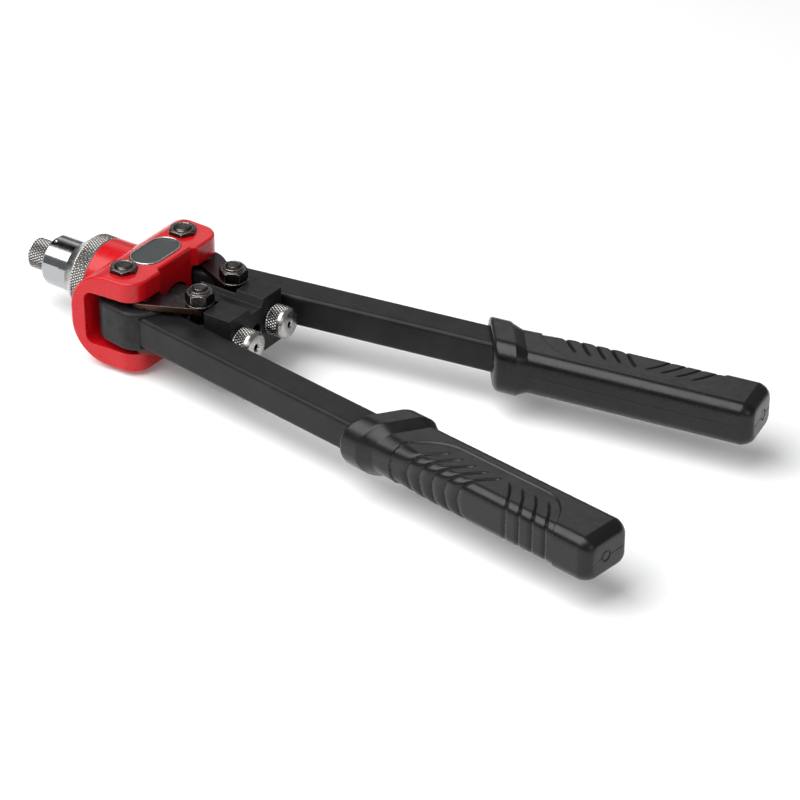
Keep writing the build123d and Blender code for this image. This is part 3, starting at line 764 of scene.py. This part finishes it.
class RIVETER_OT_add_nosepieces(bpy.types.Operator):
    """Add the knurled nosepiece and the two spares"""

    bl_idname = "riveter.add_nosepieces"
    bl_label = "Add Nosepieces"

    def execute(self, context):
        size = sizes()
        low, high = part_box("nosepiece")
        radius = high.y
        length, stud, bore = 12.5 * MM, STUD_RADIUS, 2.1 * MM
        knurl = diamond_knurl(1.1 * MM, length - 0.7 * MM, radius, size.knurl_pitch, size.knurl_depth)
        profile = [(high.x, bore), (0.5 * MM, bore), (0.0, bore + 0.5 * MM), (0.0, radius - 1.3 * MM)]
        profile += [(0.35 * MM, radius - 0.75 * MM), (1.0 * MM, radius - 0.2 * MM)]
        profile += fine_rows(1.1 * MM, length - 0.7 * MM, radius, 0.17 * MM)
        profile += [(length, radius - 0.4 * MM), (length, stud)]
        profile += [(high.x - 0.8 * MM, stud), (high.x, stud - 0.8 * MM)]
        rings, groove = turned(profile, segments=264, cut=knurl)
        self.add("knurled_nosepiece", rings, groove, "head", "nosepiece")
        for side in SIDES:
            node = f"{side}_spare_nosepiece"
            low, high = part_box(node)
            centre = (0.0, (low.y + high.y) / 2, (low.z + high.z) / 2)
            face = high.x - 9.6 * MM
            bore = 1.6 * MM if side == "left" else 1.3 * MM
            start, end = face + 0.8 * MM, high.x - 2.6 * MM
            knurl = diamond_knurl(start, end, radius, size.knurl_pitch, size.knurl_depth)
            profile = [(low.x, bore), (low.x, stud - 1 * MM), (low.x + 1 * MM, stud), (face, stud)]
            profile += [(face, radius - 0.5 * MM)] + fine_rows(start, end, radius, 0.17 * MM)
            profile += [(high.x - 1.3 * MM, radius - 0.05 * MM), (high.x - 0.25 * MM, radius - 1.05 * MM)]
            profile += [(high.x, radius - 1.5 * MM), (high.x, bore + 0.6 * MM), (high.x - 0.6 * MM, bore)]
            rings, groove = turned(profile, centre, 264, knurl)
            self.add(f"knurled_{side}_spare", rings, groove, "draw_carriage", node)
        return {"FINISHED"}

    def add(self, name, rings, groove, body, node):
        """One plated nosepiece from its rings."""
        part = shell(rings, loop=True, groove=groove)
        make_piece(name, [part], body, "nickel_plate", [node])


class RIVETER_OT_add_nose_housing(bpy.types.Operator):
    """Add the chromed nose housing and the knurled lock ring"""

    bl_idname = "riveter.add_nose_housing"
    bl_label = "Add Nose Housing and Lock Ring"

    def execute(self, context):
        size = sizes()
        low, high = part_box("nose_housing")
        radius = high.z
        flat_y, seat, thread_bore = 11.7 * MM, 10.0 * MM, 8.3 * MM
        dimple_turn, dimple_radius = math.radians(103), 0.55 * MM
        front, flat_end, shoulder = low.x, low.x + 11 * MM, low.x + 15 * MM

        def flats_and_dimple(along, angle, reach):
            """Spanner flats cut to flat_y on both sides, and a small drilled dimple near the front."""
            side = np.abs(np.cos(angle)) * reach
            over = np.clip(side - flat_y, 0, None) / np.maximum(np.abs(np.cos(angle)), 0.2)
            outside = reach > radius - 1.5 * MM
            taken = over * (along <= flat_end) * outside
            distance = np.hypot(along - front - 2.9 * MM, (angle - dimple_turn) * radius) / dimple_radius
            dimple = np.exp(-distance ** 2) * outside
            return taken + 0.5 * MM * dimple, dimple

        profile = [(front + 6 * MM, STUD_RADIUS), (front, STUD_RADIUS), (front, radius - 1.4 * MM)]
        profile += [(front + 0.35 * MM, radius - 0.85 * MM), (front + 0.8 * MM, radius - 0.35 * MM)]
        profile += fine_rows(front + 1.4 * MM, flat_end, radius, 0.2 * MM)
        profile += [(flat_end + 0.01 * MM, radius), (shoulder, radius), (shoulder, seat)]
        profile += [(high.x, seat), (high.x, thread_bore), (front + 6 * MM, thread_bore)]
        rings, groove = turned(profile, segments=288, cut=flats_and_dimple)
        part = shell(rings, loop=True, groove=groove)
        make_piece("chromed_nose_housing", [part], "head", "chrome_plate", ["nose_housing"], 10.0)

        low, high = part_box("lock_ring")
        radius = high.z
        start, end = low.x + 8.9 * MM, high.x - 0.6 * MM
        knurl = diamond_knurl(start, end, radius, 0.95 * size.knurl_pitch, size.knurl_depth)
        profile = [(high.x, seat), (low.x, seat), (low.x, 12.3 * MM), (low.x + 0.3 * MM, 12.8 * MM)]
        profile += [(low.x + 8.0 * MM, 18.75 * MM), (low.x + 8.5 * MM, radius - 0.25 * MM)]
        profile += fine_rows(start, end, radius, 0.19 * MM)
        profile += [(high.x, radius - 0.5 * MM)]
        rings, groove = turned(profile, segments=600, cut=knurl)
        part = shell(rings, loop=True, groove=groove)
        make_piece("knurled_lock_ring", [part], "head", "nickel_plate", ["lock_ring"])
        return {"FINISHED"}


class RIVETER_OT_add_badge(bpy.types.Operator):
    """Add the blank badge and its polished rim"""

    bl_idname = "riveter.add_badge"
    bl_label = "Add Badge"

    def execute(self, context):
        low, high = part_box("badge_rim")
        centre = (low + high) / 2
        outline, normal = stadium(high.y - low.y, high.x - low.x, 192)
        # rim: a profile (inward, up) carried round the outline, with a rounded top
        crown = [(0.62 - 0.28 * math.cos(t), 0.95 + 0.35 * math.sin(t)) for t in np.linspace(0, math.pi, 9)]
        profile = [(0.0, 0.0), (0.0, 0.82), (0.06, 0.9), (0.28, 0.9), *crown, (0.9, 0.8), (0.9, 0.0)]
        rows = [self.row(outline, normal, inward * MM, low.z + up * MM, centre) for inward, up in profile]
        # painted shade: the four outer rows are marked to go near black
        dark_shade_rows = np.repeat([1.0] * 4 + [0.0] * 9 + [0.0] * 2, len(outline))
        rim = shell(np.stack(rows), loop=True, groove=dark_shade_rows)
        make_piece("polished_badge_rim", [rim], "head", "polished_rim", ["badge_rim"])

        low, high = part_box("badge_plate")
        outline, normal = stadium(high.y - low.y, high.x - low.x, 192)
        profile = [(0.0, 0.0), (0.0, 0.6), (0.12, 0.8), (0.4, 0.9), (4.0, 0.9), (7.0, 0.9)]
        rows = [self.row(outline, normal, inward * MM, low.z + up * MM, centre) for inward, up in profile]
        plate = shell(np.stack(rows))
        make_piece("blank_badge_plate", [plate], "head", "badge_grey", ["badge_plate"])
        return {"FINISHED"}

    def row(self, outline, normal, inward, up, centre):
        """One ring: the outline drawn in along its normals, at a height."""
        flat = outline - inward * normal
        return np.column_stack([centre.x + flat[:, 0], centre.y + flat[:, 1], np.full(len(flat), up)])


class RIVETER_OT_add_fasteners(bpy.types.Operator):
    """Add the pivot and link nuts, bolts and washers"""

    bl_idname = "riveter.add_fasteners"
    bl_label = "Add Nuts and Bolts"

    def execute(self, context):
        self.add_set("pivot", JOINT_PLACE["left_handle_swing"], 4.0 * MM, 0.0, "head")
        self.add_set("link", BLOCK_PIVOT, 3.5 * MM, math.radians(30), "draw_carriage")
        self.add_washers(BLOCK_PIVOT, 3.5 * MM)
        return {"FINISHED"}

    def add_set(self, kind, place, shank, turn, body):
        """A pair of nuts and a pair of bolts, at a place and at its mirror image."""
        centres = [(place.x, place.y), (place.x, -place.y)]
        nuts = [self.nut(kind, centre, shank, turn) for centre in centres]
        make_piece(f"hex_{kind}_nuts", nuts, body, "black_oxide", [f"{kind}_nuts"], 28.0)
        bolts = [self.bolt(kind, centre, shank, turn) for centre in centres]
        make_piece(f"hex_{kind}_bolts", bolts, body, "black_oxide", [f"{kind}_bolts"], 28.0)

    def add_washers(self, place, shank):
        """Plain washers under the link nuts, each with lightly rounded rims."""
        low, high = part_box("link_washers")
        outer = high.y - abs(place.y)
        profile = [(low.z, shank), (low.z, outer - 0.15 * MM), (low.z + 0.15 * MM, outer)]
        profile += [(high.z - 0.2 * MM, outer), (high.z, outer - 0.3 * MM), (high.z, shank)]
        centres = [(place.x, place.y, 0.0), (place.x, -place.y, 0.0)]
        washers = [shell(turned(profile, centre, 120, axis="z")[0], loop=True) for centre in centres]
        make_piece("plain_link_washers", washers, "draw_carriage", "black_oxide", ["link_washers"])

    def nut(self, kind, centre, shank, turn):
        """A bevelled hexagon with a countersunk bore; the link nuts carry a locking collar on top."""
        low, high = (corner.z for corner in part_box(f"{kind}_nuts"))
        mouth = shank + 0.55 * MM
        bore = shank + 0.02 * MM
        if kind == "link":
            top = high - 1.3 * MM
            collar = 5.0 * MM
            inner = [(top, collar + 0.1 * MM), (top + 0.3 * MM, collar), (high - 0.45 * MM, collar)]
            inner += [(high - 0.12 * MM, collar - 0.2 * MM), (high, collar - 0.6 * MM), (high, mouth)]
        else:
            top = high
            inner = [(top, 5.1 * MM), (top - 0.12 * MM, 4.95 * MM), (top - 0.12 * MM, mouth)]
        inner += [(high - 0.5 * MM, bore), (low, bore)]
        rings = hex_rings(low, top, HEX_HALF_FLATS, turn, centre, True, kind == "link", inner)
        return shell(rings, loop=True)

    def bolt(self, kind, centre, shank, turn):
        """Hexagon head below, shank through, and a thread on its last 6 mm, a triangle wave wound once round
        for each pitch. The tip is rounded off in four rings, given as (below the top, inside the shank)."""
        low, high = (corner.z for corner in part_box(f"{kind}_bolts"))
        head_top = low + (4.0 if kind == "pivot" else 4.8) * MM
        head = hex_rings(low, head_top, HEX_HALF_FLATS, turn, centre, False, True, [(head_top, shank)])
        angle = np.linspace(0, 2 * math.pi, 144, endpoint=False)[None, :]
        z = np.arange(high - 6 * MM, high - 0.7 * MM, THREAD_PITCH / 8)[:, None]
        thread = THREAD_DEPTH * triangle_wave(z / THREAD_PITCH - angle / (2 * math.pi))
        below, inside = np.array([(0.45, 0.45), (0.12, 0.75), (0.0, 1.1), (0.0, 2.4)]).T[:, :, None] * MM
        shaft = round_z(shank - THREAD_DEPTH + thread, angle, z)
        tip = round_z(shank - inside, angle, high - below)
        return shell(np.concatenate([head, np.concatenate([shaft, tip]) + np.array([*centre, 0.0])]))


class RIVETER_OT_add_grips(bpy.types.Operator):
    """Add the two moulded grips"""

    bl_idname = "riveter.add_grips"
    bl_label = "Add Grips"

    def execute(self, context):
        for side in SIDES:
            pivot = JOINT_PLACE[f"{side}_handle_swing"].copy()
            along = JOINT_PLACE[f"{side}_link_turn"] - pivot
            along.z = 0.0
            along.normalize()
            pivot.z = 0.0
            outward = Vector((-abs(along.y), math.copysign(along.x, pivot.y), 0.0))
            rings, groove = grip_rings(side, pivot, along, outward)
            part = shell(rings, groove=groove)
            make_piece(f"{side}_moulded_grip", [part], f"{side}_handle", "black_grip", [f"{side}_grip"])
        return {"FINISHED"}


class RIVETER_OT_add_studio(bpy.types.Operator):
    """Add the floor, the lights and the camera"""

    bl_idname = "riveter.add_studio"
    bl_label = "Add Studio"

    def execute(self, context):
        scene = context.scene
        scene.view_settings.view_transform = "Standard"
        self.add_floor(scene)
        self.add_world(scene)
        centre = (Vector(CAD_BOX[0]) + Vector(CAD_BOX[1])) / 2
        # offsets and sides in metres, powers in watts
        self.add_softbox(scene, "overhead_softbox", centre, (-0.32, -0.50, 1.05), 1.35, 24.0)
        self.add_softbox(scene, "rear_softbox", centre, (-0.75, 1.15, 0.95), 0.8, 1.6)
        self.add_softbox(scene, "side_softbox", centre, (1.3, -0.55, 0.65), 0.6, 2.0)
        self.add_camera(scene)
        return {"FINISHED"}

    def add_floor(self, scene):
        """A square table top, level with the lowest point of the tool. Pale laminate: matt, faintly mottled,
        and with a slight glow of its own for the light that a white room would return to it."""
        half, z = FLOOR_HALF, CAD_BOX[0][2]
        mesh = bpy.data.meshes.new("floor")
        corners = [(-half, -half, z), (half, -half, z), (half, half, z), (-half, half, z)]
        mesh.from_pydata(corners, [], [(0, 1, 2, 3)])
        glow = {"Emission_Color": (1.0, 1.0, 1.0, 1.0), "Emission_Strength": 0.1}
        made, tree = finish("pale_matt_laminate", Roughness=0.9, Specular_IOR_Level=0.1, **glow)
        colour = patchy_colour(tree, 40 * MM, colours().floor, linear("#F3F3F3"), 0.3)
        mesh.materials.append(dress(made, colour))
        floor = bpy.data.objects.new("floor", mesh)
        scene.collection.objects.link(floor)

    def add_world(self, scene):
        """White tent light from all round, with a round dark opening about 25 degrees across high up."""
        world = bpy.data.worlds.new("white_tent")
        world.use_nodes = True
        tree = world.node_tree
        background = tree.nodes["Background"]
        direction = add(tree, "ShaderNodeTexCoord", output="Generated")
        gap = Vector((-0.50, 0.25, 0.78)).normalized()
        near = add(tree, "ShaderNodeVectorMath", {0: direction, 1: gap}, "Value", operation="DOT_PRODUCT")
        tent, opening = (0.82, 0.83, 0.85, 1.0), (0.03, 0.03, 0.03, 1.0)
        colour = patchy_colour(tree, near, tent, opening, low=0.965, high=0.985)
        tree.links.new(colour, background.inputs["Color"])
        background.inputs["Strength"].default_value = 0.28
        scene.world = world

    def add_softbox(self, scene, name, centre, offset, side, power):
        """A square softbox at an offset in metres from the tool's middle, turned to face it."""
        light = bpy.data.lights.new(name, "AREA")
        light.size = side
        light.energy = power
        lamp = bpy.data.objects.new(name, light)
        lamp.location = centre + Vector(offset)
        lamp.rotation_euler = (-Vector(offset)).to_track_quat("-Z", "Y").to_euler()
        scene.collection.objects.link(lamp)

    def add_camera(self, scene):
        """Long lens, above and behind the left handle, looking down towards the nose."""
        azimuth, elevation = math.radians(34.34), math.radians(31.62)
        target = Vector((211.5 * MM, 0.0, -10.05 * MM))
        back = Vector((
            math.sin(azimuth) * math.cos(elevation),
            -math.cos(azimuth) * math.cos(elevation),
            math.sin(elevation),
        ))
        lens = bpy.data.cameras.new("camera")
        lens.lens = 144.0
        lens.sensor_width = 36.0
        camera = bpy.data.objects.new("camera", lens)
        camera.location = target + back * 1440.8 * MM
        camera.rotation_euler = (-back).to_track_quat("-Z", "Y").to_euler()
        scene.collection.objects.link(camera)
        scene.camera = camera


PIECE_OPERATORS = (
    RIVETER_OT_finish_castings,
    RIVETER_OT_add_nosepieces,
    RIVETER_OT_add_nose_housing,
    RIVETER_OT_add_badge,
    RIVETER_OT_add_fasteners,
    RIVETER_OT_add_grips,
    RIVETER_OT_add_studio,
)


class RIVETER_PT_build(bpy.types.Panel):
    """Lists the steps that build the riveter"""

    bl_label = "Hand Riveter"
    bl_idname = "RIVETER_PT_build"
    bl_space_type = "VIEW_3D"
    bl_region_type = "UI"
    bl_category = "Riveter"

    def draw(self, context):
        for operator in PIECE_OPERATORS:
            self.layout.operator(operator.bl_idname)
        for group in (context.scene.riveter_sizes, context.scene.riveter_colours):
            box = self.layout.box()
            for name in group.__annotations__:
                box.prop(group, name)


CLASSES = (RiveterSizes, RiveterColours, *PIECE_OPERATORS, RIVETER_PT_build)


def register():
    for each in CLASSES:
        bpy.utils.register_class(each)
    bpy.types.Scene.riveter_sizes = bpy.props.PointerProperty(type=RiveterSizes)
    bpy.types.Scene.riveter_colours = bpy.props.PointerProperty(type=RiveterColours)


def unregister():
    del bpy.types.Scene.riveter_colours
    del bpy.types.Scene.riveter_sizes
    for each in reversed(CLASSES):
        bpy.utils.unregister_class(each)


def main():
    register()
    bpy.ops.riveter.finish_castings()
    bpy.ops.riveter.add_nosepieces()
    bpy.ops.riveter.add_nose_housing()
    bpy.ops.riveter.add_badge()
    bpy.ops.riveter.add_fasteners()
    bpy.ops.riveter.add_grips()
    bpy.ops.riveter.add_studio()


if __name__ == "__main__":
    main()
